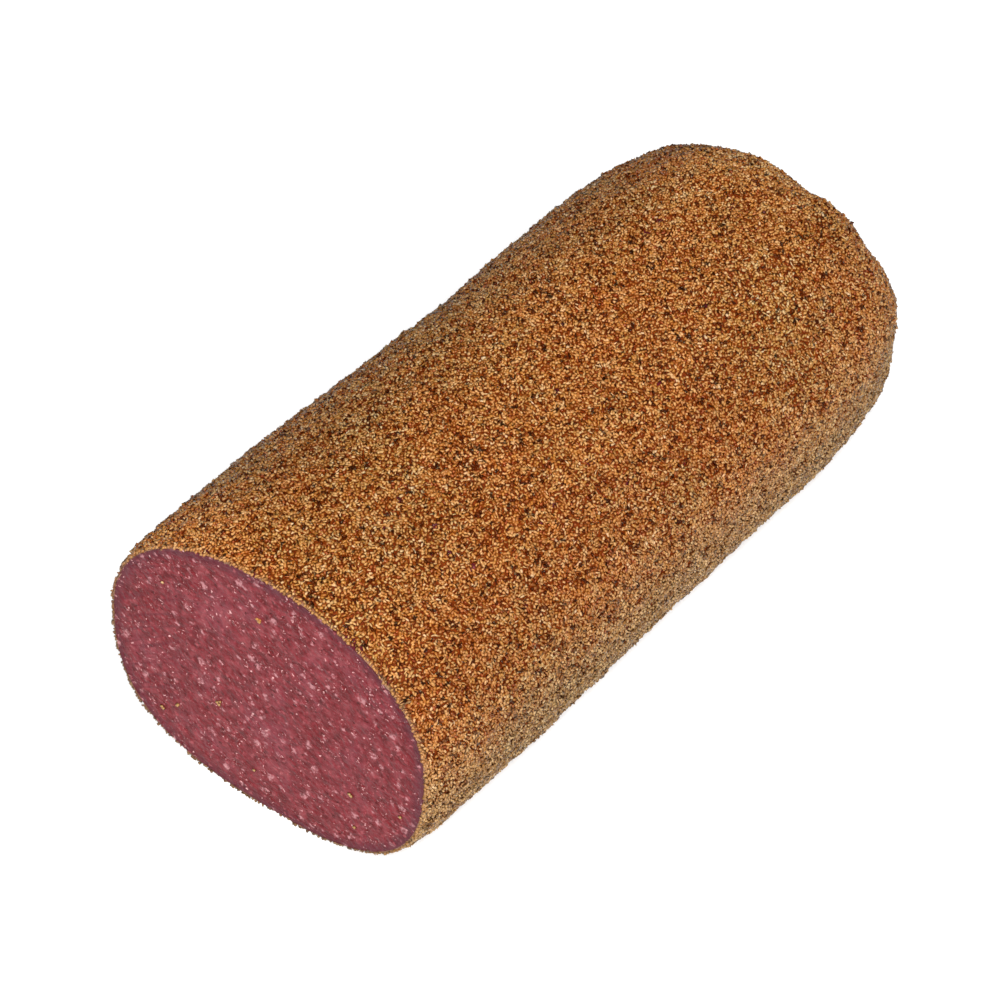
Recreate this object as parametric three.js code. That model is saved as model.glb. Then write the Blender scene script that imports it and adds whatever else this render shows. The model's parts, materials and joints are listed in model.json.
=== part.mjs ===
// A half log of pepper-crusted salami, lying on its underside. The log runs along Y, with its cut face
// towards -Y and its tied, rounded end towards +Y. Z is up, and the origin is under the middle of the log.
import * as THREE from 'three';

// Driving dimensions, in millimetres
const LENGTH = 206;
const WIDTH = 98;
const HEIGHT = 79;
const REST_PRESS = 1.3; // the height by which the log's weight has pressed its underside flat
const CRUST_SWELL = 0.4; // how far the broad, low swells in the crust reach in or out
const RIM_DRAW = 1.9; // how much narrower on each side the cut end has drawn itself
const RIM_REACH = 15; // the length over which it does so
const END_DEPTH = 102; // the length over which the tied end rounds off, most of it in the last third
const PLEAT_DEPTH = 1.4; // the depth of the deepest gather of the tied end
const PUCKER_DEPTH = 4; // how far the middle of the tied end is drawn in
const PUCKER_RADIUS = 15;
const CREASE_START = 20; // from the axis outwards, the gathers and swells grow to full size over this

// Proportions
const TOP_EXPONENT = 2.15; // of the section above its widest line, where 2 is an ellipse
const UNDER_EXPONENT = 2.65; // of the section below it, where the log has settled squarer
const END_EXPONENT = 5.1; // of the tied end's outline: higher is a squarer shoulder
const TAPER = 0.058; // the share of its size that the log loses from the cut to the tied end
const CUT_TURN = 0.06; // how far back the cut runs for each millimetre to the right
const CUT_LEAN = 0.09; // and for each millimetre up
const CUT_REACH = 70; // the length over which the slant of the cut dies away
const END_TURN = -0.05; // how far the tied end reaches back for each millimetre to the right
const END_LEAN = -0.18; // and for each millimetre up
const PLEATS = 8;
const FIRST_PLEAT = THREE.MathUtils.degToRad(39.5);
const PLEAT_SHARPNESS = 1.6;

// Mesh fineness
const AROUND = 64;
const BODY_RINGS = 18;
const END_RINGS = 28;
const FACE_RINGS = 4;
const RING_SPREAD = 1.25; // above 1, the body's rings are closer together near the cut

const HALF_WIDTH = WIDTH / 2;
const FLATNESS = HEIGHT / WIDTH;
const END_START = LENGTH - END_DEPTH;
const PLEAT_START = END_START + 0.35 * END_DEPTH;
const PLEAT_FULL = END_START + 0.9 * END_DEPTH;

// The half width of the body at a distance along the log.
function sideRadius(along) {
  const tapered = HALF_WIDTH * (1 - (TAPER * along) / LENGTH);
  return tapered - RIM_DRAW * Math.max(0, 1 - along / RIM_REACH) ** 2;
}

// A share from 0 to 1 that starts and ends slowly, so that the rings of a squarish end lie evenly on it.
function evenShare(share, power) {
  return share ** power / (share ** power + (1 - share) ** power);
}

// The outline of the log from the middle of the cut face, out to its rim, along the side and round to the
// middle of the tied end, as radius and distance along the log.
function outline() {
  const points = [];
  for (let i = 0; i < FACE_RINGS; i++) {
    points.push(new THREE.Vector2((sideRadius(0) * i) / FACE_RINGS, 0));
  }
  for (let i = 0; i < BODY_RINGS; i++) {
    const along = END_START * (i / BODY_RINGS) ** RING_SPREAD;
    points.push(new THREE.Vector2(sideRadius(along), along));
  }
  for (let i = 0; i <= END_RINGS; i++) {
    const turn = (Math.PI / 2) * evenShare(i / END_RINGS, END_EXPONENT / 2);
    const radius = sideRadius(END_START) * Math.max(Math.cos(turn), 0) ** (2 / END_EXPONENT);
    points.push(new THREE.Vector2(radius, END_START + END_DEPTH * Math.sin(turn) ** (2 / END_EXPONENT)));
  }
  return points;
}

// The log's section in place of a circle: an ellipse above and a squarer curve below.
function section(angle, radius) {
  const across = Math.cos(angle);
  const up = Math.sin(angle);
  const power = 2 / (up > 0 ? TOP_EXPONENT : UNDER_EXPONENT);
  return {
    x: radius * Math.sign(across) * Math.abs(across) ** power,
    z: radius * FLATNESS * Math.sign(up) * Math.abs(up) ** power,
  };
}

// How strongly a gather of the tied end runs along this angle: 1 in the deepest groove, 0 between two
// grooves. The grooves are uneven in place and depth, and the deepest is the one after the first.
function gather(angle) {
  const turn = angle - FIRST_PLEAT;
  const wander = 0.8 * Math.sin(turn) * Math.sin(2 * turn);
  const wave = 0.5 + 0.5 * Math.cos(PLEATS * turn + wander);
  const unevenness = 0.25 * Math.sin(1.5 * (turn - (2 * Math.PI) / PLEATS)) ** 2;
  return wave ** PLEAT_SHARPNESS * (1 - unevenness);
}

// Broad, low swells along the body, from pressing the crust on by hand.
function swell(angle, along) {
  const lengthwise = Math.sin((Math.PI * along) / 61 + 2 * angle);
  const crosswise = Math.sin(3 * angle - (Math.PI * along) / 97);
  return CRUST_SWELL * (0.6 * lengthwise + 0.4 * crosswise);
}

// Moves one point of the turned outline to its place on the log.
function shaped(point) {
  const along = point.y;
  const turned = Math.hypot(point.x, point.z);
  const angle = Math.atan2(point.z, point.x);
  const offAxis = Math.min(1, turned / CREASE_START);
  const onEnd = THREE.MathUtils.smoothstep(along, PLEAT_START, PLEAT_FULL);
  const groove = onEnd * PLEAT_DEPTH * gather(angle) * offAxis;
  const at = section(angle, Math.max(0, turned + offAxis * swell(angle, along) - groove));

  // The log's smaller end still lies on the table, and its weight flattens what would reach lower.
  const settled = ((HEIGHT / 2) * TAPER * Math.min(along, END_START)) / LENGTH;
  const height = Math.max(at.z - settled, REST_PRESS - HEIGHT / 2);

  const cutSlant = (CUT_TURN * at.x + CUT_LEAN * height) * Math.max(0, 1 - along / CUT_REACH);
  const endShare = Math.max(0, (along - END_START) / END_DEPTH);
  const endSlant = (END_TURN * at.x + END_LEAN * height) * endShare ** 2;
  const pucker = onEnd * PUCKER_DEPTH * Math.exp(-((turned / PUCKER_RADIUS) ** 2));
  return point.set(at.x, along + cutSlant + endSlant - pucker - groove / 2, height);
}

function logGeometry() {
  const geometry = new THREE.LatheGeometry(outline(), AROUND);
  const places = geometry.getAttribute('position');
  const point = new THREE.Vector3();
  for (let i = 0; i < places.count; i++) {
    shaped(point.fromBufferAttribute(places, i));
    places.setXYZ(i, point.x, point.y, point.z);
  }
  geometry.computeBoundingBox();
  const middle = geometry.boundingBox.getCenter(new THREE.Vector3());
  geometry.translate(-middle.x, -middle.y, -geometry.boundingBox.min.z);
  geometry.computeVertexNormals();
  return geometry;
}

const crust = new THREE.MeshStandardMaterial({ color: 0x9a6c3c, roughness: 0.8, metalness: 0 });
const log = new THREE.Mesh(logGeometry(), crust);
log.name = 'salami_log';

const salami = new THREE.Group();
salami.add(log);

export default salami;
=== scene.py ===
import json
import math

import bpy
import numpy as np
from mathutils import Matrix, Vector

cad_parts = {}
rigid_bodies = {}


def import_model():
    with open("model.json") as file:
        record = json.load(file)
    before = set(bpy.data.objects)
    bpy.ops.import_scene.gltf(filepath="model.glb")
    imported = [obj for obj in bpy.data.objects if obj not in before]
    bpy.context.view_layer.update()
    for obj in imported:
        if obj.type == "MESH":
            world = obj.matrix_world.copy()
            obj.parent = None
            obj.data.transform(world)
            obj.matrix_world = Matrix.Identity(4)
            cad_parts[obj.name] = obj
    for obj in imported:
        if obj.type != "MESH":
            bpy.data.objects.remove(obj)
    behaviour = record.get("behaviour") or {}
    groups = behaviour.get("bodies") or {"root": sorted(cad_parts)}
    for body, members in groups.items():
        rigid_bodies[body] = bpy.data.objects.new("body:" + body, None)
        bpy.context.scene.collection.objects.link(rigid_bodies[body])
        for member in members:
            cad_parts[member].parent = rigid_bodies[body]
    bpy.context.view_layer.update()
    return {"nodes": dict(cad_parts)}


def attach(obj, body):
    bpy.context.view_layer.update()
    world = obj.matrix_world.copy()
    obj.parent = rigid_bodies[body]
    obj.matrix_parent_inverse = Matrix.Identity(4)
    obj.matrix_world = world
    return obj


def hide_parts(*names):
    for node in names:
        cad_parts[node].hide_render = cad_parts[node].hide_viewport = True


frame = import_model()
log_node = frame["nodes"]["salami_log"]

MM = 0.001

# The camera: its angles in degrees round the log and up, its distance and where it looks
VIEW_AZIMUTH = 40.46
VIEW_ELEVATION = 48.0
VIEW_DISTANCE = 0.950
VIEW_TARGET = Vector((-0.00244, -0.01462, 0.03141))
LENS = 138.36
SENSOR_WIDTH = 36.0  # of the camera, in the lens's unit
PHOTO_WIDTH = 1000  # of the photo and its height, in pixels

# The lamp, in the same way, and the white table and studio
LAMP_AZIMUTH = 42
LAMP_ELEVATION = 50
LAMP_DISTANCE = 4.5
LAMP_SIZE = 2.0
LAMP_POWER = 425
STUDIO_GLOW = 0.1
TABLE_SIZE = 12
TABLE_WHITE = (0.9, 0.9, 0.9, 1)

# The layers, as depths under the tops of the grains
MEAT_DEPTH = 0.85 * MM
MEAT_FLARE = 1.007  # how much the rim of the cut meat spreads out under the grains
PASTE_DEPTH = 0.45 * MM
PASTE_THICKNESS = 0.5 * MM
PASTE_SETBACK = 0.12 * MM  # the paste ends this far behind the cut
GRAIN_DEPTH = 0.22 * MM
MERGE_GAP = 0.001 * MM  # points of the log closer together than this are one
TRIM_SPARE = 0.5 * MM  # what a skin is drawn out by before it is trimmed at the cut
TABLE_GAP = 0.1 * MM  # what reaches lower than this is pressed into the gap over the table
CUT_STAND_OFF = 0.35 * MM  # how far a grain at the rim may reach past the cut

# The grains
GRAIN_SPACING = 0.605 * MM
GRAIN_TRIES = 11e6  # per square metre, before those too close together are dropped
GRAIN_SIZE = 1.1 * MM
GRAIN_TILT = math.radians(25)
LEAST_STRETCH = (0.75, 0.55, 0.65)  # of a grain's length, width and height
MOST_STRETCH = (1.35, 0.85, 1.0)
# The forms of grain, each as often as it occurs among the others
GRAIN_FORMS = ("block", "block", "block", "block", "block", "splinter", "splinter", "pointed")
GRAIN_SHINE = 0.34
DARK_GRAIN_SHINE = 0.1
PROUD_SHARE = 0.1  # the share of the grains that stand out of the crust
PROUD_HEIGHT = 0.35 * MM  # how far the highest of them do
CRUMB_LIFT = 0.1 * MM  # how far the middle of a loose grain lies off the cut face

# The seeds of everything drawn by chance
SEED = 7
TILT_SEED = SEED + 1
STRETCH_SEED = SEED + 2
FORM_SEED = SEED + 3
TONE_SEED = SEED + 4
PROUD_SEED = SEED + 5

# The crust's lumps and pits. Each level is of a noise, and the crust sinks where the noise is above it.
LUMP_HEIGHT = 0.8 * MM
PIT_DEPTH = 0.5 * MM
PIT_SHADE_STRENGTH = 0.93
PIT_LEVEL = 0.65
SPECK_LEVEL = 0.665

# The scales of the crust's patterns, in waves per metre
BROAD_LUMP_SCALE = 55.0
CLOSE_LUMP_SCALE = 230.0
PIT_SCALE = 520.0
SPECK_SCALE = 860.0
FLECK_SCALE = 2200.0
BLOTCH_SCALE = 260.0
PATCH_SCALE = 150.0
DRIFT_SCALE = 24.0
BORDER_SCALE = 45.0

# A grain's shade: how much each pattern and the grain's own tone count in it
FLECK_SHARE = 0.5
PATCH_SHARE = 0.35
TONE_SHARE = 0.62
TONE_START = -0.06

# Where the crust changes colour, in height, across the log or behind the cut; among these are painted shade
# and a painted reflection of the white table
TABLE_SHEEN_TOP = 58 * MM  # a painted reflection of the white table grows from here down, making it paler
TABLE_SHEEN_FOOT = 22 * MM
TABLE_SHEEN_SHARE = 0.6
LOW_BORDER = 24 * MM  # how far a border up or down the log wanders
LEFT_START = -2 * MM  # painted shade grows from here to the left
LEFT_END = -34 * MM
LEFT_BORDER = 16 * MM  # how far this border wanders
LEFT_SPARED = 25 * MM  # but it does not this near the cut
SHOULDER_SHADE_TOP = 71 * MM  # painted shade grows from here down the shoulder
SHOULDER_SHADE_FOOT = 62 * MM
GOLDEN_REACH = 30 * MM  # it is more golden this near the cut
RIM_REACH = 1.4 * MM  # this near the cut it takes on the colour of its edge
RIM_SHARE = 0.6
RIM_SHADE_TOP = 66 * MM  # its edge takes on painted shade, duller, from here down
RIM_SHADE_FOOT = 52 * MM
RIM_SHADE_START = 42 * MM  # and from here to the left
RIM_SHADE_END = 30 * MM
GAP_SHADE_TOP = 0.12 * MM  # over a grain's middle, from where painted shade darkens it on its way down between the grains
GAP_SHADE_FOOT = -0.22 * MM
GAP_SHADE_SHARE = 0.8
FLANK_SHADE_REACH = 0.18 * MM  # how much further up a grain the painted shade between the grains reaches on the flank
PASTE_LIT_EDGE_REACH = 1.5 * MM  # this near the cut the paste is painted lighter and greyer, as painted light in the shaded groove at the rim
PASTE_SHINE = 0.1

# The cut face
FACE_SPAN = 32  # the columns that it is first filled with
FACE_CUTS = 8  # the cuts across each of their squares
FACE_RELIEF = 0.5 * MM
RELIEF_START = 1.5 * MM  # the relief grows to full size this far in from the rim
MEAT_RIM_WIDTH = 4.5 * MM  # the meat is darker this near the rim
SPOT_WOBBLE = 2.2 * MM  # how ragged the fat flecks and tears are
TEAR_SPACING = 2.8 * MM
KNIFE_START = -14 * MM  # the knife marks show from here to the left
KNIFE_END = -34 * MM
MEAT_SHINE = 0.12


def deselect_everything():
    if bpy.context.mode != "OBJECT":
        bpy.ops.object.mode_set(mode="OBJECT")
    bpy.ops.object.select_all(action="DESELECT")


def work_on(piece):
    deselect_everything()
    piece.select_set(True)
    bpy.context.view_layer.objects.active = piece


def edit_all(piece):
    work_on(piece)
    bpy.ops.object.mode_set(mode="EDIT")
    bpy.ops.mesh.select_all(action="SELECT")


def select_faces(piece, chosen):
    """In edit mode, selects the faces that a rule picks by their centre and normal."""
    bpy.ops.mesh.select_all(action="DESELECT")
    bpy.ops.mesh.select_mode(type="FACE")
    bpy.ops.object.mode_set(mode="OBJECT")
    for face in piece.data.polygons:
        face.select = chosen(face.center, face.normal)
    bpy.ops.object.mode_set(mode="EDIT")


def cut_plane():
    """The middle of the cut face and the direction that it faces."""
    faces = [f for f in log_node.data.polygons if f.normal.y < -0.9 and f.center.y < -80 * MM]
    area = sum(f.area for f in faces)
    middle = sum((f.center * f.area for f in faces), Vector()) / area
    facing = sum((f.normal * f.area for f in faces), Vector()).normalized()
    return middle, facing


CUT_MIDDLE, CUT_FACING = cut_plane()


def on_cut(centre, normal):
    return normal.dot(CUT_FACING) > 0.99 and abs((centre - CUT_MIDDLE).dot(CUT_FACING)) < 0.1 * MM


def copy_of_log(name):
    """A copy of the plain log, with its loose triangles merged into one skin."""
    piece = bpy.data.objects.new(name, log_node.data.copy())
    piece.data.name = name
    piece.data.materials.clear()
    bpy.context.scene.collection.objects.link(piece)
    edit_all(piece)
    bpy.ops.mesh.customdata_custom_splitnormals_clear()
    bpy.ops.mesh.remove_doubles(threshold=MERGE_GAP)
    bpy.ops.object.mode_set(mode="OBJECT")
    return piece


def open_at_cut(piece, depth, setback=0.0):
    """Takes the cut face off, shrinks the skin by a depth and trims it to end behind the cut by a setback."""
    edit_all(piece)
    select_faces(piece, on_cut)
    bpy.ops.mesh.delete(type="FACE")
    bpy.ops.mesh.select_all(action="SELECT")
    bpy.ops.transform.shrink_fatten(value=-depth)
    bpy.ops.mesh.select_all(action="DESELECT")
    bpy.ops.mesh.select_mode(type="EDGE")
    bpy.ops.mesh.select_non_manifold(extend=False)
    bpy.ops.transform.translate(value=CUT_FACING * TRIM_SPARE)
    bpy.ops.mesh.select_all(action="SELECT")
    bpy.ops.mesh.bisect(
        plane_co=CUT_MIDDLE - CUT_FACING * setback,
        plane_no=CUT_FACING,
        clear_outer=True,
        threshold=0.00001 * MM,
    )
    bpy.ops.object.mode_set(mode="OBJECT")


def pits(nodes, place):
    """Where the small pits of the crust are, which are painted dark as their shade: 1 in the middle of one, 0
    off them.
    """
    wide = map_range(nodes, noise(nodes, place, PIT_SCALE, 1.0, 0.5), PIT_LEVEL, PIT_LEVEL + 0.07)
    narrow = map_range(nodes, noise(nodes, place, SPECK_SCALE, 1.0, 0.5), SPECK_LEVEL, SPECK_LEVEL + 0.04)
    return math_node(nodes, "MAXIMUM", wide, narrow)


def lumps(nodes):
    """How far the crust stands out or in at each place, from being pressed on by hand."""
    place = nodes.add("GeometryNodeInputPosition")
    broad = math_node(nodes, "SUBTRACT", noise(nodes, place, BROAD_LUMP_SCALE, 2.0, 0.5), 0.5)
    close = math_node(nodes, "SUBTRACT", noise(nodes, place, CLOSE_LUMP_SCALE, 2.0, 0.5), 0.45)
    both = math_node(nodes, "MULTIPLY_ADD", math_node(nodes, "MAXIMUM", close, -0.05), 1.1, broad)
    swell = times(nodes, both, 2 * LUMP_HEIGHT)
    return math_node(nodes, "MULTIPLY_ADD", pits(nodes, place), -PIT_DEPTH, swell)


def pushed(nodes, geometry, facing, distance):
    """Moves each point along the way that it faces by a distance."""
    offset = nodes.add("ShaderNodeVectorMath", {0: facing, "Scale": distance}, operation="SCALE")
    return nodes.add("GeometryNodeSetPosition", {"Geometry": geometry, "Offset": offset})


def apply_modifiers(piece):
    work_on(piece)
    for modifier in list(piece.modifiers):
        bpy.ops.object.modifier_apply(modifier=modifier.name)


class Nodes:
    """Adds nodes to a tree by kind. Their inputs go by name or number, and are links or values alike."""

    def __init__(self, tree):
        self.tree = tree
        tree.nodes.clear()

    def add(self, kind, inputs=None, **settings):
        node = self.tree.nodes.new(kind)
        for name, value in settings.items():
            setattr(node, name, value)
        for key, value in (inputs or {}).items():
            self.put(node.inputs[key], value)
        return node

    def put(self, socket, value):
        if isinstance(value, bpy.types.Node):
            value = next(o for o in value.outputs if o.enabled)
        if isinstance(value, bpy.types.NodeSocket):
            self.tree.links.new(value, socket)
        else:
            socket.default_value = value


def geometry_tree(name):
    tree = bpy.data.node_groups.new(name, "GeometryNodeTree")
    tree.interface.new_socket("Geometry", in_out="INPUT", socket_type="NodeSocketGeometry")
    tree.interface.new_socket("Geometry", in_out="OUTPUT", socket_type="NodeSocketGeometry")
    nodes = Nodes(tree)
    return nodes, nodes.add("NodeGroupInput").outputs[0]


def run_geometry(piece, nodes, result):
    nodes.add("NodeGroupOutput", {0: result})
    modifier = piece.modifiers.new("Geometry", "NODES")
    modifier.node_group = nodes.tree
    apply_modifiers(piece)
    bpy.data.node_groups.remove(nodes.tree)


def finish_material(name):
    material = bpy.data.materials.new(name)
    material.use_nodes = True
    return material, Nodes(material.node_tree)


def colour(r, g, b):
    """A colour given as on a screen, 0 to 255, as the linear one that a shader takes."""

    def linear(v):
        v /= 255
        return v / 12.92 if v <= 0.04045 else ((v + 0.055) / 1.055) ** 2.4

    return (linear(r), linear(g), linear(b), 1.0)


def ramp(nodes, factor, *stops):
    """A colour ramp from stops of a place and a colour."""
    node = nodes.add("ShaderNodeValToRGB", {"Fac": factor})
    elements = node.color_ramp.elements
    while len(elements) < len(stops):
        elements.new(0.5)
    for element, (place, shade) in zip(elements, stops):
        element.position = place
        element.color = shade
    return node.outputs["Color"]


def noise(nodes, place, scale, detail, roughness):
    return nodes.add(
        "ShaderNodeTexNoise",
        {"Vector": place, "Scale": scale, "Detail": detail, "Roughness": roughness},
    ).outputs["Fac"]


def mix(nodes, factor, a, b, blend="MIX"):
    node = nodes.add("ShaderNodeMix", data_type="RGBA", blend_type=blend)
    nodes.put(node.inputs[0], factor)
    nodes.put(node.inputs[6], a)
    nodes.put(node.inputs[7], b)
    return node.outputs[2]


def math_node(nodes, operation, *values, clamp=False):
    node = nodes.add("ShaderNodeMath", operation=operation, use_clamp=clamp)
    for socket, value in zip(node.inputs, values):
        nodes.put(socket, value)
    return node.outputs[0]


# Tints that the crust's colours are multiplied by, as shares of red, green and blue
DRIFT_WARM = (1.06, 0.995, 0.91, 1)
DRIFT_OLIVE = (0.97, 1.075, 1.05, 1)
BLOTCH_WARM = (1.04, 0.96, 0.86, 1)
BLOTCH_COOL = (0.95, 1.03, 1.08, 1)
# painted shade on the lower shoulder
SHOULDER_SHADE = (0.87, 0.87, 0.88, 1)
# painted shade on the left side
LEFT_SHADE = (0.7, 0.74, 0.83, 1)
GOLDEN_TINT = (1.1, 1.08, 1.05, 1)
GRAIN_SHINE_TINT = (1, 0.82, 0.66, 1)

# Colours of the crust: the painted shade in its pits, the painted reflection of the white table on its flank,
# its edge at the cut with painted shade on its duller part, and the painted shade between the grains
PIT_SHADE = colour(26, 6, 0)
TABLE_SHEEN_DARK = colour(66, 44, 18)
TABLE_SHEEN_MIDDLE = colour(132, 105, 66)
TABLE_SHEEN_LIGHT = colour(202, 172, 125)
RIM_GOLD = colour(150, 109, 66)
RIM_SHADE = colour(98, 80, 70)
GAP_SHADE_BROWN = colour(92, 23, 0)
GAP_SHADE_OLIVE = colour(52, 27, 8)

# Colours of the spice paste
PASTE_DARK = colour(64, 15, 0)
PASTE_MIDDLE = colour(104, 38, 0)
PASTE_LIGHT = colour(138, 68, 10)
# painted shade in the paste's pits
PASTE_PIT_SHADE = colour(30, 7, 0)
PASTE_PATCH = colour(84, 26, 0)
# painted light: the paste by the cut, lighter and greyer against the shade of the groove at the rim
LIT_EDGE_DARK = colour(84, 54, 42)
LIT_EDGE_LIGHT = colour(146, 112, 88)

# Colours of the meat, in the order in which they are laid on
STRAND_DARK = colour(74, 9, 14)
STRAND_MIDDLE = colour(96, 22, 28)
STRAND_LIGHT = colour(114, 35, 42)
CLOUD_PINK = colour(112, 44, 54)
CLOUD_RED = colour(98, 12, 18)
BLUSH_PINK = colour(134, 60, 65)
BLUSH_RED = colour(76, 6, 10)
FIBRE_DARK = colour(70, 4, 8)
FIBRE_LIGHT = colour(156, 78, 82)
MEAT_RIM = colour(68, 20, 32)
SMALL_SPOT = colour(148, 74, 78)
# painted shade in the cracks
CRACK_SHADE = colour(94, 10, 16)
KNIFE_DARK = colour(84, 18, 28)
FAT_PINK = colour(166, 114, 117)
# painted shade in the pits
MEAT_PIT_SHADE = colour(62, 2, 4)
# painted glints and highlights
GLINT_WHITE = colour(218, 168, 166)


def times(nodes, a, b):
    return math_node(nodes, "MULTIPLY", a, b)


def along(nodes, vector, way):
    """How far a vector reaches along a way."""
    return nodes.add("ShaderNodeVectorMath", {0: vector, 1: way}, operation="DOT_PRODUCT").outputs["Value"]


def map_range(nodes, value, low, high, to_low=0.0, to_high=1.0):
    """Takes a value from one span to another, smoothly and without leaving it."""
    node = nodes.add("ShaderNodeMapRange", interpolation_type="SMOOTHSTEP")
    for socket, number in zip(node.inputs, (value, low, high, to_low, to_high)):
        nodes.put(socket, number)
    return node.outputs[0]


def stored(nodes, name, output="Fac"):
    """In a material, what the mesh carries under a name."""
    return nodes.add("ShaderNodeAttribute", attribute_name=name).outputs[output]


def surface(nodes, base, rough, bump, shine, tint=(1, 1, 1, 1)):
    """Ends a material with its colour, roughness, relief, shine and the tint of its shine."""
    shader = nodes.add(
        "ShaderNodeBsdfPrincipled",
        {
            "Base Color": base,
            "Roughness": rough,
            "Normal": bump.outputs[0],
            "Specular IOR Level": shine,
            "Specular Tint": tint,
        },
    )
    nodes.add("ShaderNodeOutputMaterial", {"Surface": shader})


def ragged(nodes, place, measure, width):
    """A measure that wanders to and fro within a width, so that what starts by it has a ragged border."""
    wander = noise(nodes, place, BORDER_SCALE, 3.0, 0.6)
    return math_node(nodes, "ADD", measure, math_node(nodes, "MULTIPLY_ADD", wander, width, -width / 2))


def lowness(nodes, place, top, foot):
    """How far down the log the crust is: 0 above a height and 1 below another, with a ragged border."""
    height = nodes.add("ShaderNodeSeparateXYZ", {0: place}).outputs[2]
    return map_range(nodes, ragged(nodes, place, height, LOW_BORDER), top, foot)


def near_cut(nodes, place, reach):
    """How near the cut a place is: 1 on it and 0 from a distance behind it."""
    start = CUT_MIDDLE.dot(CUT_FACING)
    return map_range(nodes, along(nodes, place, CUT_FACING), start - reach, start)


def shaded_left(nodes, place, low, base):
    """Paints shade on the crust's left shoulder, but neither low down nor near the cut."""
    side = nodes.add("ShaderNodeSeparateXYZ", {0: place}).outputs[0]
    left = map_range(nodes, ragged(nodes, place, side, LEFT_BORDER), LEFT_START, LEFT_END)
    spared = math_node(nodes, "MAXIMUM", low, near_cut(nodes, place, LEFT_SPARED))
    left = times(nodes, left, math_node(nodes, "SUBTRACT", 1.0, spared))
    return mix(nodes, left, base, LEFT_SHADE, "MULTIPLY")


def grain_colour(nodes, place, shade, low, deep, body, light):
    """A grain's colour, from its own shade of colour and from where on the log it lies, with painted shade
    and a painted reflection of the white table laid on by place.
    """
    base = ramp(nodes, shade, (0.0, colour(*deep)), (0.5, colour(*body)), (1.0, colour(*light)))
    drift = noise(nodes, place, DRIFT_SCALE, 2.0, 0.5)
    base = mix(nodes, 1.0, base, ramp(nodes, drift, (0.35, DRIFT_WARM), (0.65, DRIFT_OLIVE)), "MULTIPLY")
    blotch = noise(nodes, place, BLOTCH_SCALE, 2.0, 0.6)
    base = mix(nodes, 1.0, base, ramp(nodes, blotch, (0.38, BLOTCH_WARM), (0.62, BLOTCH_COOL)), "MULTIPLY")
    # painted shade on the lower shoulder
    base = mix(nodes, lowness(nodes, place, SHOULDER_SHADE_TOP, SHOULDER_SHADE_FOOT), base, SHOULDER_SHADE, "MULTIPLY")
    # painted reflection of the white table, paler lower down the flank
    table_sheen = ramp(nodes, shade, (0.0, TABLE_SHEEN_DARK), (0.5, TABLE_SHEEN_MIDDLE), (1.0, TABLE_SHEEN_LIGHT))
    base = mix(nodes, times(nodes, low, TABLE_SHEEN_SHARE), base, table_sheen)
    # painted shade on the left shoulder
    base = shaded_left(nodes, place, low, base)
    base = mix(nodes, near_cut(nodes, place, GOLDEN_REACH), base, GOLDEN_TINT, "MULTIPLY")
    # painted shade in the pits
    return mix(nodes, times(nodes, pits(nodes, place), PIT_SHADE_STRENGTH), base, PIT_SHADE)


def at_rim(nodes, place):
    """How much a grain belongs to the crust's edge at the cut. The loose grains on the meat don't."""
    turned = along(nodes, stored(nodes, "facing", "Vector"), CUT_FACING)
    return times(nodes, near_cut(nodes, place, RIM_REACH), map_range(nodes, turned, 0.9, 0.5))


def rim_colour(nodes, place):
    """The colour of the crust's edge at the cut: golden above, with painted shade, duller, below and to the
    left.
    """
    lower = lowness(nodes, place, RIM_SHADE_TOP, RIM_SHADE_FOOT)
    across = nodes.add("ShaderNodeSeparateXYZ", {0: place}).outputs[0]
    left = map_range(nodes, across, RIM_SHADE_START, RIM_SHADE_END)
    return mix(nodes, times(nodes, lower, left), RIM_GOLD, RIM_SHADE)


def grain_material(kind, deep, body, light):
    material, nodes = finish_material("pepper_" + kind)
    place = nodes.add("ShaderNodeTexCoord").outputs["Object"]
    fleck = noise(nodes, place, FLECK_SCALE, 2.0, 0.6)
    patch = noise(nodes, place, PATCH_SCALE, 3.0, 0.6)
    tone = math_node(nodes, "MULTIPLY_ADD", stored(nodes, "tone"), TONE_SHARE, TONE_START)
    shade = math_node(nodes, "MULTIPLY_ADD", fleck, FLECK_SHARE, tone)
    patch = math_node(nodes, "MULTIPLY_ADD", patch, PATCH_SHARE, -PATCH_SHARE / 2)
    shade = math_node(nodes, "ADD", shade, patch, clamp=True)
    low = lowness(nodes, place, TABLE_SHEEN_TOP, TABLE_SHEEN_FOOT)
    base = grain_colour(nodes, place, shade, low, deep, body, light)

    edge = at_rim(nodes, place)
    base = mix(nodes, times(nodes, edge, RIM_SHARE), base, rim_colour(nodes, place))
    # painted shade between the grains: each grain darker on its way down, reaching higher on the flank, and
    # less shiny there
    rise = math_node(nodes, "MULTIPLY_ADD", low, -FLANK_SHADE_REACH, stored(nodes, "rise"))
    gap_shade = map_range(nodes, rise, GAP_SHADE_TOP, GAP_SHADE_FOOT, 0.0, GAP_SHADE_SHARE)
    spared = math_node(nodes, "MULTIPLY_ADD", edge, -RIM_SHARE, 1.0)
    gap_shade_colour = mix(nodes, low, GAP_SHADE_BROWN, GAP_SHADE_OLIVE)
    base = mix(nodes, times(nodes, gap_shade, spared), base, gap_shade_colour)

    shine = DARK_GRAIN_SHINE if kind == "dark" else GRAIN_SHINE
    shine = math_node(nodes, "MULTIPLY_ADD", gap_shade, -shine, shine)
    rough = math_node(nodes, "MULTIPLY_ADD", fleck, 0.4, 0.15)
    bump = nodes.add("ShaderNodeBump", {"Strength": 0.4, "Distance": 0.1 * MM, "Height": fleck})
    surface(nodes, base, rough, bump, shine, GRAIN_SHINE_TINT)
    return material


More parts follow.
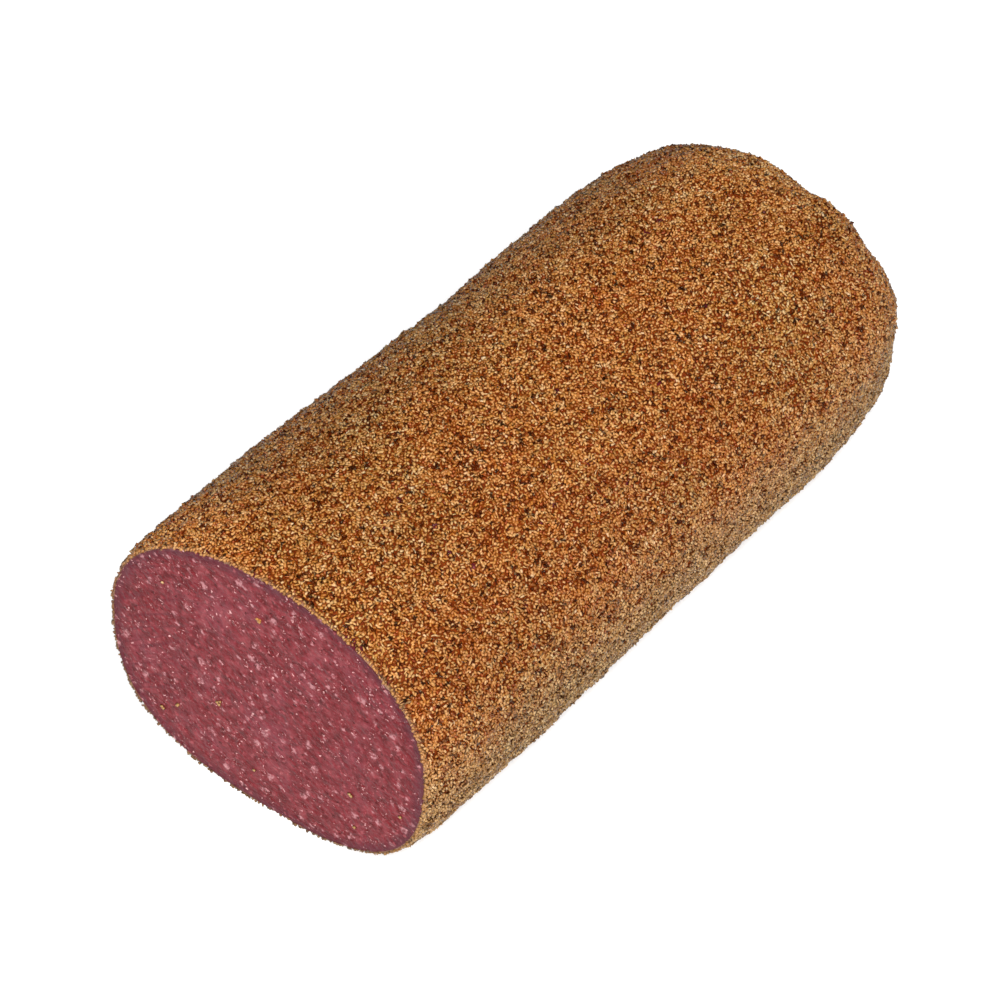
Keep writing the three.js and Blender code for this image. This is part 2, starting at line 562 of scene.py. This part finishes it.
def paste_material():
    material, nodes = finish_material("spice_paste")
    place = nodes.add("ShaderNodeTexCoord").outputs["Object"]
    lump = noise(nodes, place, 900.0, 4.0, 0.65)
    patch = noise(nodes, place, 90.0, 3.0, 0.5)
    base = ramp(nodes, lump, (0.3, PASTE_DARK), (0.5, PASTE_MIDDLE), (0.72, PASTE_LIGHT))
    # painted shade in the pits
    base = mix(nodes, pits(nodes, place), base, PASTE_PIT_SHADE)
    base = mix(nodes, times(nodes, patch, 0.5), base, PASTE_PATCH)
    # painted light at the paste's edge by the cut
    edge = ramp(nodes, lump, (0.3, LIT_EDGE_DARK), (0.7, LIT_EDGE_LIGHT))
    base = mix(nodes, near_cut(nodes, place, PASTE_LIT_EDGE_REACH), base, edge)
    rough = math_node(nodes, "MULTIPLY_ADD", lump, 0.3, 0.5)
    bump = nodes.add("ShaderNodeBump", {"Strength": 0.6, "Distance": 0.3 * MM, "Height": lump})
    surface(nodes, base, rough, bump, PASTE_SHINE)
    return material


def ovals(nodes, face, spacing, radius, share):
    """Soft round spots on the cut face, up to a radius and about a spacing apart, in a share of places."""
    cells = nodes.add("ShaderNodeTexVoronoi", {"Vector": face, "Scale": 1 / spacing}, voronoi_dimensions="2D")
    draw = nodes.add("ShaderNodeSeparateColor", {"Color": cells.outputs["Color"]})
    size = map_range(nodes, draw.outputs[0], 1 - share, 1.0, 0.0, radius / spacing)
    return map_range(nodes, cells.outputs["Distance"], size, times(nodes, size, 0.5))


def stretched(nodes, face, angle, length):
    """The place on the cut face, drawn out along an angle so that a pattern on it runs that way."""
    return nodes.add(
        "ShaderNodeMapping",
        {"Vector": face, "Rotation": (0, 0, math.radians(angle)), "Scale": (length, 1, 1)},
        vector_type="TEXTURE",
    ).outputs[0]


def across_and_up(nodes, place):
    """A place on the cut face as its distances across and up."""
    axes = nodes.add("ShaderNodeSeparateXYZ", {0: place})
    return nodes.add("ShaderNodeCombineXYZ", {0: axes.outputs[0], 1: axes.outputs[2]}).outputs[0]


def wobbled(nodes, place):
    """The place moved about a little, so that spots on it get ragged outlines."""
    inputs = {"Vector": place, "Scale": 900.0, "Detail": 3.0, "Roughness": 0.65}
    wobble = nodes.add("ShaderNodeTexNoise", inputs)
    middle = (0.5, 0.5, 0.5)
    shift = nodes.add("ShaderNodeVectorMath", {0: wobble.outputs["Color"], 1: middle}, operation="SUBTRACT")
    shift = nodes.add("ShaderNodeVectorMath", {0: shift, "Scale": SPOT_WOBBLE}, operation="SCALE")
    return nodes.add("ShaderNodeVectorMath", {0: place, 1: shift}, operation="ADD").outputs[0]


def tears(nodes, place, drawn, fibre):
    """Short cracks in the cut meat, painted dark as their shade, and painted highlights on the pale ridges
    beside them.
    """
    distance = nodes.add(
        "ShaderNodeTexVoronoi",
        {"Vector": drawn, "Scale": 1 / TEAR_SPACING},
        voronoi_dimensions="2D",
        feature="DISTANCE_TO_EDGE",
    ).outputs["Distance"]
    torn_open = map_range(nodes, noise(nodes, place, 300.0, 2.0, 0.5), 0.53, 0.6)
    crack = times(nodes, map_range(nodes, distance, 0.09, 0.02), torn_open)
    beside = times(nodes, map_range(nodes, distance, 0.09, 0.13), map_range(nodes, distance, 0.2, 0.15))
    ridge_glint = times(nodes, times(nodes, beside, torn_open), map_range(nodes, fibre, 0.54, 0.62))
    return crack, ridge_glint


def knife_marks(nodes, clean):
    """Faint lines that the knife drew over the left of the cut face."""
    lines = noise(nodes, stretched(nodes, clean, 36, 16), 900.0, 1.0, 0.5)
    across = nodes.add("ShaderNodeSeparateXYZ", {0: clean}).outputs[0]
    on_left = map_range(nodes, across, KNIFE_START, KNIFE_END)
    return times(nodes, map_range(nodes, lines, 0.54, 0.64, 0.0, 0.7), on_left)


def meat_material():
    material, nodes = finish_material("salami_meat")
    place = nodes.add("ShaderNodeTexCoord").outputs["Object"]
    face = across_and_up(nodes, wobbled(nodes, place))
    drawn = stretched(nodes, face, -12, 1.3)
    slanted = stretched(nodes, face, 60, 1.1)
    clean = across_and_up(nodes, place)
    fibre = noise(nodes, stretched(nodes, clean, -4, 1.08), 1300.0, 3.0, 0.6)
    strand = noise(nodes, stretched(nodes, clean, -4, 1.15), 460.0, 4.0, 0.6)
    cloud = noise(nodes, place, 60.0, 3.0, 0.55)
    blush = noise(nodes, place, 330.0, 3.0, 0.6)
    marbled = map_range(nodes, noise(nodes, place, 1300.0, 2.0, 0.6), 0.4, 0.6, 0.2, 1.0)
    large = ovals(nodes, slanted, 5.2 * MM, 1.4 * MM, 0.34)
    middle = ovals(nodes, drawn, 2.7 * MM, 0.75 * MM, 0.5)
    small = ovals(nodes, drawn, 1.6 * MM, 0.5 * MM, 0.7)
    # painted glints
    tiny_glints = ovals(nodes, slanted, 2.2 * MM, 0.27 * MM, 0.3)
    pit = ovals(nodes, drawn, 2.4 * MM, 0.5 * MM, 0.55)
    crack, ridge_glint = tears(nodes, place, drawn, fibre)

    base = ramp(nodes, strand, (0.34, STRAND_DARK), (0.5, STRAND_MIDDLE), (0.68, STRAND_LIGHT))
    for share, shade in (
        (map_range(nodes, cloud, 0.48, 0.66, 0.0, 0.6), CLOUD_PINK),
        (map_range(nodes, cloud, 0.46, 0.32, 0.0, 0.5), CLOUD_RED),
        (map_range(nodes, blush, 0.5, 0.66, 0.0, 0.45), BLUSH_PINK),
        (map_range(nodes, blush, 0.46, 0.34, 0.0, 0.6), BLUSH_RED),
        (map_range(nodes, fibre, 0.45, 0.3, 0.0, 0.45), FIBRE_DARK),
        (map_range(nodes, fibre, 0.57, 0.7, 0.0, 0.35), FIBRE_LIGHT),
        (map_range(nodes, stored(nodes, "rim"), MEAT_RIM_WIDTH, 0.0, 0.0, 0.75), MEAT_RIM),
        (times(nodes, small, 0.55), SMALL_SPOT),
        # painted shade in the cracks
        (times(nodes, crack, 0.7), CRACK_SHADE),
        (knife_marks(nodes, clean), KNIFE_DARK),
        (times(nodes, times(nodes, math_node(nodes, "MAXIMUM", large, middle), marbled), 0.85), FAT_PINK),
        # painted shade in the pits
        (times(nodes, pit, 0.8), MEAT_PIT_SHADE),
        # painted glints, and painted highlights on the ridges
        (times(nodes, math_node(nodes, "MAXIMUM", tiny_glints, ridge_glint), 0.8), GLINT_WHITE),
    ):
        base = mix(nodes, share, base, shade)

    height = math_node(nodes, "MULTIPLY_ADD", small, 0.5, math_node(nodes, "ADD", fibre, strand))
    height = math_node(nodes, "MULTIPLY_ADD", math_node(nodes, "MAXIMUM", pit, crack), -0.6, height)
    rough = math_node(nodes, "MULTIPLY_ADD", fibre, 0.4, 0.2)
    bump = nodes.add("ShaderNodeBump", {"Strength": 0.4, "Distance": 0.4 * MM, "Height": height})
    surface(nodes, base, rough, bump, MEAT_SHINE)
    return material


def measure_rim(meat):
    """Stores at each point of the cut face how far it is from the rim."""
    facing = np.array(CUT_FACING)
    points = np.empty(len(meat.data.vertices) * 3, np.float32)
    meat.data.vertices.foreach_get("co", points)
    points = points.reshape(-1, 3)
    flat = np.abs((points - np.array(CUT_MIDDLE)) @ facing) < 0.05 * MM
    turn = np.arctan2(points[:, 2] - CUT_MIDDLE.z, points[:, 0] - CUT_MIDDLE.x)
    reach = np.hypot(points[:, 2] - CUT_MIDDLE.z, points[:, 0] - CUT_MIDDLE.x)
    bins = 256
    slot = ((turn / math.tau + 0.5) * bins).astype(int) % bins
    edge = np.zeros(bins)
    np.maximum.at(edge, slot[flat], reach[flat])
    rim = np.where(flat, edge[slot] - reach, 0).astype(np.float32)
    meat.data.attributes.new("rim", "FLOAT", "POINT").data.foreach_set("value", rim)


def make_meat():
    meat = copy_of_log("salami_meat")
    open_at_cut(meat, MEAT_DEPTH)
    edit_all(meat)
    bpy.ops.mesh.select_all(action="DESELECT")
    bpy.ops.mesh.select_mode(type="EDGE")
    bpy.ops.mesh.select_non_manifold(extend=False)
    bpy.ops.transform.resize(value=(MEAT_FLARE, MEAT_FLARE, MEAT_FLARE), center_override=CUT_MIDDLE)
    bpy.ops.mesh.fill_grid(span=FACE_SPAN)
    select_faces(meat, on_cut)
    bpy.ops.mesh.subdivide(number_cuts=FACE_CUTS)
    bpy.ops.mesh.select_all(action="SELECT")
    bpy.ops.mesh.normals_make_consistent(inside=False)
    bpy.ops.object.mode_set(mode="OBJECT")
    measure_rim(meat)
    nodes, skin = geometry_tree("cut_relief")
    place = nodes.add("GeometryNodeInputPosition")
    rim = carried(nodes, "rim", "FLOAT")
    fine = noise(nodes, place, 750.0, 2.0, 0.5)
    coarse = noise(nodes, place, 160.0, 2.0, 0.5)
    rough = math_node(nodes, "SUBTRACT", math_node(nodes, "ADD", fine, coarse), 1.05)
    height = times(nodes, times(nodes, rough, FACE_RELIEF), map_range(nodes, rim, 0.0, RELIEF_START))
    run_geometry(meat, nodes, pushed(nodes, skin, tuple(CUT_FACING), height))
    work_on(meat)
    bpy.ops.object.shade_smooth_by_angle(angle=math.radians(50))
    meat.data.materials.append(meat_material())
    return meat


def carried(nodes, name, kind):
    """In a tree of geometry nodes, what the mesh carries under a name."""
    return nodes.add("GeometryNodeInputNamedAttribute", {"Name": name}, data_type=kind)


def store(nodes, geometry, name, value, kind, domain="POINT"):
    """In a tree of geometry nodes, makes the mesh carry a value under a name."""
    inputs = {"Geometry": geometry, "Name": name, "Value": value}
    return nodes.add("GeometryNodeStoreNamedAttribute", inputs, data_type=kind, domain=domain)


def draw_lots(nodes, kind, low, high, seed):
    """A value for each point or grain, drawn by chance between two ends."""
    low_end, high_end, result = {"FLOAT_VECTOR": (0, 1, 0), "FLOAT": (2, 3, 1), "INT": (4, 5, 2)}[kind]
    inputs = {low_end: low, high_end: high, "Seed": seed}
    return nodes.add("FunctionNodeRandomValue", inputs, data_type=kind).outputs[result]


def make_paste():
    paste = copy_of_log("crust_paste")
    open_at_cut(paste, PASTE_DEPTH, PASTE_SETBACK)
    edit_all(paste)
    bpy.ops.mesh.subdivide(number_cuts=3)
    bpy.ops.object.mode_set(mode="OBJECT")
    nodes, skin = geometry_tree("paste_lumps")
    run_geometry(paste, nodes, pushed(nodes, skin, nodes.add("GeometryNodeInputNormal"), lumps(nodes)))
    wall = paste.modifiers.new("Wall", "SOLIDIFY")
    wall.thickness = PASTE_THICKNESS
    wall.offset = -1
    apply_modifiers(paste)
    press_flush(paste)
    bpy.ops.object.shade_smooth()
    paste.data.materials.append(paste_material())
    return paste


def make_bed():
    """The places of all the grains, as the points of a mesh, each with the way that it faces and where its
    middle lies.
    """
    bed = copy_of_log("grain_bed")
    open_at_cut(bed, GRAIN_DEPTH)
    nodes, skin = geometry_tree("grain_places")
    spread = nodes.add(
        "GeometryNodeDistributePointsOnFaces",
        {"Mesh": skin, "Distance Min": GRAIN_SPACING, "Density Max": GRAIN_TRIES, "Seed": SEED},
        distribute_method="POISSON",
    )
    facing = store(nodes, spread.outputs["Points"], "facing", spread.outputs["Normal"], "FLOAT_VECTOR")
    luck = draw_lots(nodes, "FLOAT", 0.0, 1.0, PROUD_SEED)
    proud = map_range(nodes, luck, 1 - PROUD_SHARE, 1.0, 0.0, PROUD_HEIGHT)
    height = math_node(nodes, "ADD", lumps(nodes), proud)
    raised = pushed(nodes, facing, carried(nodes, "facing", "FLOAT_VECTOR"), height)
    centred = store(nodes, raised, "centre", nodes.add("GeometryNodeInputPosition"), "FLOAT_VECTOR")
    run_geometry(bed, nodes, nodes.add("GeometryNodePointsToVertices", {0: centred}))
    return bed


def grain_shapes():
    """Angular grains: blocks that narrow upwards, three-cornered splinters and double-pointed grains."""
    shapes = bpy.data.collections.new("grain_shapes")
    bpy.context.scene.collection.children.link(shapes)
    for number, form in enumerate(GRAIN_FORMS):
        deselect_everything()
        if form == "block":
            bpy.ops.mesh.primitive_cube_add(size=0.9 * GRAIN_SIZE, scale=(1, 1, 0.7))
        elif form == "splinter":
            bpy.ops.mesh.primitive_cylinder_add(
                vertices=3,
                radius=0.5 * GRAIN_SIZE,
                depth=0.85 * GRAIN_SIZE,
                rotation=(0, math.radians(90), 0),
            )
        else:
            bpy.ops.mesh.primitive_cone_add(vertices=4, radius1=0.6 * GRAIN_SIZE, depth=0.5 * GRAIN_SIZE)
        shape = bpy.context.object
        shape.name = f"grain_shape_{number}"
        bpy.ops.object.transform_apply(location=True, rotation=True, scale=True)
        edit_all(shape)
        if form == "block":
            select_faces(shape, lambda centre, normal: normal.z > 0.9)
            bpy.ops.transform.resize(value=(0.6, 0.55, 1))
        elif form == "pointed":
            select_faces(shape, lambda centre, normal: normal.z < -0.9)
            bpy.ops.mesh.poke(offset=0.5 * GRAIN_SIZE)
            bpy.ops.mesh.select_all(action="SELECT")
            bpy.ops.transform.translate(value=(0, 0, 0.25 * GRAIN_SIZE))
        bpy.ops.mesh.select_all(action="SELECT")
        bpy.ops.transform.vertex_random(offset=0.2 * GRAIN_SIZE, seed=SEED + number)
        bpy.ops.mesh.quads_convert_to_tris()
        bpy.ops.object.mode_set(mode="OBJECT")
        bpy.ops.object.shade_smooth()
        for owner in list(shape.users_collection):
            owner.objects.unlink(shape)
        shapes.objects.link(shape)
    return shapes


def scatter(bed, shapes, kind, number, length, width):
    """Sets a grain on every point of the bed that belongs to this kind."""
    piece = bpy.data.objects.new("grains_" + kind, bed.data.copy())
    bpy.context.scene.collection.objects.link(piece)
    nodes, points = geometry_tree("scatter_" + kind)
    facing = carried(nodes, "facing", "FLOAT_VECTOR")
    mine = nodes.add("FunctionNodeCompare", data_type="INT", operation="EQUAL")
    nodes.put(mine.inputs[2], carried(nodes, "kind", "INT"))
    nodes.put(mine.inputs[3], number)
    upright = nodes.add("FunctionNodeAlignRotationToVector", {"Vector": facing}, axis="Z")
    least = (-GRAIN_TILT, -GRAIN_TILT, 0)
    most = (GRAIN_TILT, GRAIN_TILT, math.tau)
    tilt = draw_lots(nodes, "FLOAT_VECTOR", least, most, TILT_SEED)
    turned = nodes.add(
        "FunctionNodeRotateRotation", {"Rotation": upright, "Rotate By": tilt}, rotation_space="LOCAL"
    )
    least = tuple(share * size for share, size in zip(LEAST_STRETCH, (length, width, width)))
    most = tuple(share * size for share, size in zip(MOST_STRETCH, (length, width, width)))
    source = {"Collection": shapes, "Separate Children": True, "Reset Children": True}
    placed = nodes.add(
        "GeometryNodeInstanceOnPoints",
        {
            "Points": points,
            "Selection": mine,
            "Instance": nodes.add("GeometryNodeCollectionInfo", source),
            "Pick Instance": True,
            "Instance Index": draw_lots(nodes, "INT", 0, len(shapes.objects) - 1, FORM_SEED),
            "Rotation": turned,
            "Scale": draw_lots(nodes, "FLOAT_VECTOR", least, most, STRETCH_SEED),
        },
    )
    tone = draw_lots(nodes, "FLOAT", 0.0, 1.0, TONE_SEED)
    toned = store(nodes, placed, "tone", tone, "FLOAT", "INSTANCE")
    joined = nodes.add("GeometryNodeRealizeInstances", {0: toned})
    place = nodes.add("GeometryNodeInputPosition")
    centre = carried(nodes, "centre", "FLOAT_VECTOR")
    reach = nodes.add("ShaderNodeVectorMath", {0: place, 1: centre}, operation="SUBTRACT")
    risen = store(nodes, joined, "rise", along(nodes, reach, facing), "FLOAT")
    run_geometry(piece, nodes, risen)
    return piece


def press_flush(piece):
    """Pushes what reaches past the cut back to it, and what reaches under the table up above it.

    The lower a point reaches, the closer it ends up to the table, so that no two grains lie in one plane.
    """
    points = np.empty(len(piece.data.vertices) * 3, np.float32)
    piece.data.vertices.foreach_get("co", points)
    points = points.reshape(-1, 3)
    facing = np.array(CUT_FACING)
    past = (points - np.array(CUT_MIDDLE)) @ facing - CUT_STAND_OFF
    points -= np.outer(np.maximum(past, 0), facing)
    depth = np.maximum(TABLE_GAP - points[:, 2], 0)
    points[:, 2] = np.maximum(points[:, 2], TABLE_GAP**2 / (TABLE_GAP + depth))
    piece.data.vertices.foreach_set("co", points.ravel())
    piece.data.update()


# Each kind of grain: its share of all grains, its length and width, and its dark, middle and light colours
KINDS = {
    "gold": (0.21, 1.0, 1.0, (120, 54, 4), (160, 106, 48), (181, 140, 95)),
    "tan": (0.20, 1.0, 1.0, (126, 64, 14), (166, 116, 64), (188, 151, 112)),
    "amber": (0.21, 1.0, 1.0, (110, 44, 2), (146, 89, 38), (174, 128, 84)),
    "brown": (0.21, 1.0, 1.0, (92, 32, 0), (132, 74, 26), (160, 113, 66)),
    "dark": (0.06, 1.0, 1.0, (44, 12, 0), (70, 28, 6), (104, 56, 26)),
    "straw": (0.05, 1.0, 0.85, (136, 90, 42), (178, 136, 92), (200, 164, 132)),
    "red": (0.055, 0.9, 0.9, (92, 26, 2), (134, 64, 26), (162, 100, 56)),
    "husk": (0.003, 2.4, 0.55, (136, 92, 50), (166, 126, 82), (188, 152, 112)),
}

# Where loose grains stick to the cut face in the photo, in pixels across and down, as read off
PAIR_FAR_LEFT = (162, 706)
PAIR_LEFT = (177, 705)
THREE_LEFT = (217, 702)
THREE_ABOVE = (257, 619)
PAIR_RIGHT = (349, 794)
GRAIN_BELOW = (354, 827)
GRAIN_FAR_RIGHT = (400, 817)
STRAW_BELOW = (254, 770)
STRAW_LEFT = (162, 582)

# The loose grains: where, how far from there to the right and up in millimetres, and their kinds
CRUMBS = (
    (PAIR_FAR_LEFT, 0.0, 0.0, "tan"),
    (PAIR_FAR_LEFT, 0.5, -0.4, "gold"),
    (PAIR_LEFT, 0.0, 0.0, "gold"),
    (PAIR_LEFT, 0.3, 0.5, "tan"),
    (THREE_LEFT, 0.0, 0.0, "amber"),
    (THREE_LEFT, 0.9, 0.8, "red"),
    (THREE_LEFT, 0.6, -0.4, "gold"),
    (THREE_ABOVE, 0.0, 0.0, "gold"),
    (THREE_ABOVE, 0.6, -0.5, "tan"),
    (THREE_ABOVE, 0.7, 0.1, "amber"),
    (PAIR_RIGHT, 0.0, 0.0, "tan"),
    (PAIR_RIGHT, 0.5, -0.3, "gold"),
    (GRAIN_BELOW, 0.0, 0.0, "gold"),
    (GRAIN_FAR_RIGHT, 0.0, 0.0, "gold"),
    (STRAW_BELOW, 0.0, 0.0, "straw"),
    (STRAW_LEFT, 0.0, 0.0, "straw"),
)


def direction(azimuth, elevation):
    """The way from the log to a camera or lamp, by its angles in degrees round the log and up."""
    turn = math.radians(azimuth)
    rise = math.radians(elevation)
    return Vector((math.sin(turn) * math.cos(rise), -math.cos(turn) * math.cos(rise), math.sin(rise)))


def seen_on_cut(pixel):
    """Where a pixel of the photo falls on the cut face: across and up, to a tenth of a millimetre."""
    way = direction(VIEW_AZIMUTH, VIEW_ELEVATION)
    right = Vector((0, 0, 1)).cross(way).normalized()
    up = way.cross(right)
    eye = VIEW_TARGET + way * VIEW_DISTANCE
    scale = SENSOR_WIDTH / (LENS * PHOTO_WIDTH)
    ray = right * (pixel[0] - PHOTO_WIDTH / 2) * scale - up * (pixel[1] - PHOTO_WIDTH / 2) * scale - way
    place = eye + ray * ((CUT_MIDDLE - eye).dot(CUT_FACING) / ray.dot(CUT_FACING))
    return round(place.x / MM, 1), round(place.z / MM, 1)


def add_crumbs(bed):
    """Adds the places of the loose grains on the cut face to the end of the bed."""
    places = []
    for pixel, aside, above, _ in CRUMBS:
        across, up = seen_on_cut(pixel)
        place = Vector(((across + aside) * MM, 0, (up + above) * MM))
        place.y = CUT_MIDDLE.y + (place - CUT_MIDDLE).dot(CUT_FACING * Vector((1, 0, 1))) / -CUT_FACING.y
        places.append(place + CUT_FACING * CRUMB_LIFT)
    mesh = bpy.data.meshes.new("crumbs")
    mesh.from_pydata(places, [], [])
    for name, values in (("facing", [CUT_FACING] * len(places)), ("centre", places)):
        mesh.attributes.new(name, "FLOAT_VECTOR", "POINT").data.foreach_set("vector", np.ravel(values))
    crumbs = bpy.data.objects.new("crumbs", mesh)
    bpy.context.scene.collection.objects.link(crumbs)
    work_on(bed)
    crumbs.select_set(True)
    bpy.ops.object.join()


def make_grains():
    bed = make_bed()
    shares = np.cumsum([entry[0] for entry in KINDS.values()])
    draws = np.random.default_rng(SEED).random(len(bed.data.vertices))
    kinds = list(np.searchsorted(shares / shares[-1], draws))
    add_crumbs(bed)
    kinds += [list(KINDS).index(kind) for _, _, _, kind in CRUMBS]
    bed.data.attributes.new("kind", "INT", "POINT").data.foreach_set("value", kinds)
    shapes = grain_shapes()
    made = []
    for number, (kind, (_, length, width, deep, body, light)) in enumerate(KINDS.items()):
        piece = scatter(bed, shapes, kind, number, length, width)
        press_flush(piece)
        piece.data.materials.clear()
        piece.data.materials.append(grain_material(kind, deep, body, light))
        made.append(piece)
    for shape in list(shapes.objects):
        bpy.data.objects.remove(shape)
    bpy.data.collections.remove(shapes)
    bpy.data.objects.remove(bed)
    return made


def make_floor():
    deselect_everything()
    bpy.ops.mesh.primitive_plane_add(size=TABLE_SIZE, location=(0, 0, 0))
    floor = bpy.context.object
    floor.name = "floor"
    material, nodes = finish_material("white_table")
    shader = nodes.add("ShaderNodeBsdfPrincipled", {"Base Color": TABLE_WHITE, "Roughness": 0.9})
    nodes.add("ShaderNodeOutputMaterial", {"Surface": shader})
    floor.data.materials.append(material)


def look_back(thing, way):
    """Turns a camera or lamp to look back along the way on which it stands."""
    thing.rotation_mode = "QUATERNION"
    thing.rotation_quaternion = (-way).to_track_quat("-Z", "Y")


def make_light():
    world = bpy.data.worlds.new("studio")
    bpy.context.scene.world = world
    world.use_nodes = True
    nodes = Nodes(world.node_tree)
    sky = nodes.add("ShaderNodeBackground", {"Color": (1, 1, 1, 1), "Strength": STUDIO_GLOW})
    nodes.add("ShaderNodeOutputWorld", {"Surface": sky})
    way = direction(LAMP_AZIMUTH, LAMP_ELEVATION)
    bpy.ops.object.light_add(type="AREA", location=way * LAMP_DISTANCE)
    lamp = bpy.context.object
    lamp.data.size = LAMP_SIZE
    lamp.data.energy = LAMP_POWER
    look_back(lamp, way)


def make_camera():
    data = bpy.data.cameras.new("camera")
    data.lens = LENS
    data.clip_start = 0.01
    camera = bpy.data.objects.new("camera", data)
    bpy.context.scene.collection.objects.link(camera)
    way = direction(VIEW_AZIMUTH, VIEW_ELEVATION)
    camera.location = VIEW_TARGET + way * VIEW_DISTANCE
    look_back(camera, way)
    bpy.context.scene.camera = camera


make_camera()
make_light()
make_floor()
bpy.context.scene.view_settings.view_transform = "Standard"

meat = make_meat()
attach(meat, "root")
crust = [make_paste(), *make_grains()]
for piece in crust:
    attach(piece, "root")
for piece in [meat, *crust]:
    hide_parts("salami_log")
